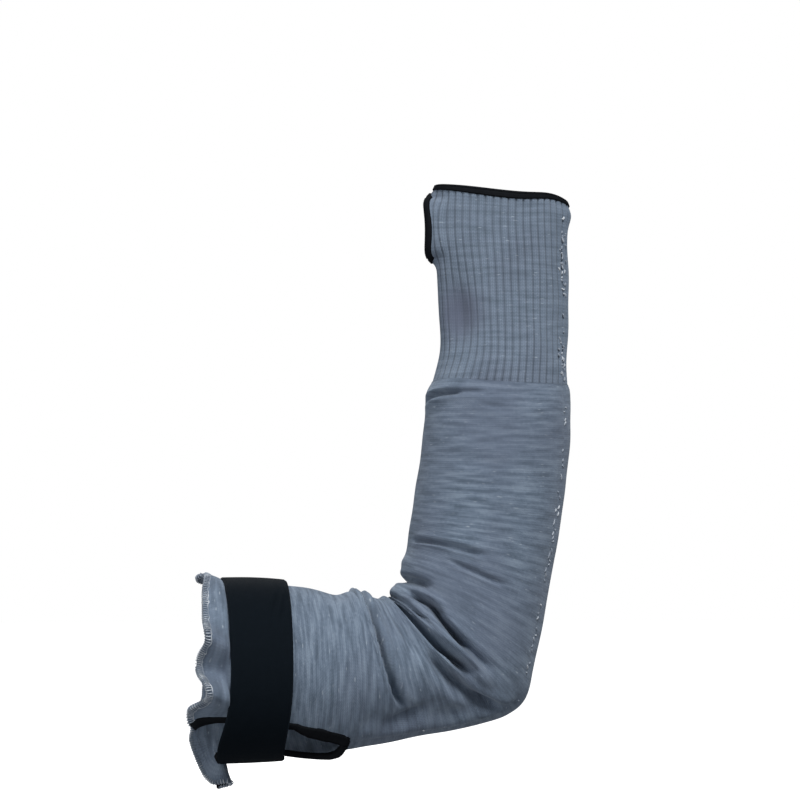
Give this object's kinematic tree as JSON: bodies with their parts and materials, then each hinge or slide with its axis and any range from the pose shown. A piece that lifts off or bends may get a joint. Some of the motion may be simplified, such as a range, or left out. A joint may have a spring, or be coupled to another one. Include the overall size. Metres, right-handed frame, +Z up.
{
  "type": "protective sleeve",
  "caption": "Knitted protective arm sleeve bent at the elbow, with a ribbed cuff, a bound thumb slot, a slit fluted hem and a strap round the upper arm.",
  "frame": {"origin": "middle of the strap's ring, on the line of the upper arm", "axes": "+X along the upper arm from the hem to the elbow, +Z up along the forearm, -Y the side shown"},
  "size_m": [0.247, 0.1104, 0.3742],
  "materials": {
    "jersey_knit": "heathered blue grey jersey knit, matte",
    "rib_knit": "heathered blue grey rib knit, matte",
    "black_binding": "black overlocked edging, matte",
    "black_strap": "black close-woven webbing, matte"
  },
  "bodies": {
    "root": {"arm_tube": "jersey_knit", "rib_cuff": "rib_knit", "cuff_binding": "black_binding", "thumb_binding": "black_binding", "slit_binding": "black_binding", "upper_arm_strap": "black_strap"}
  },
  "joints": []
}
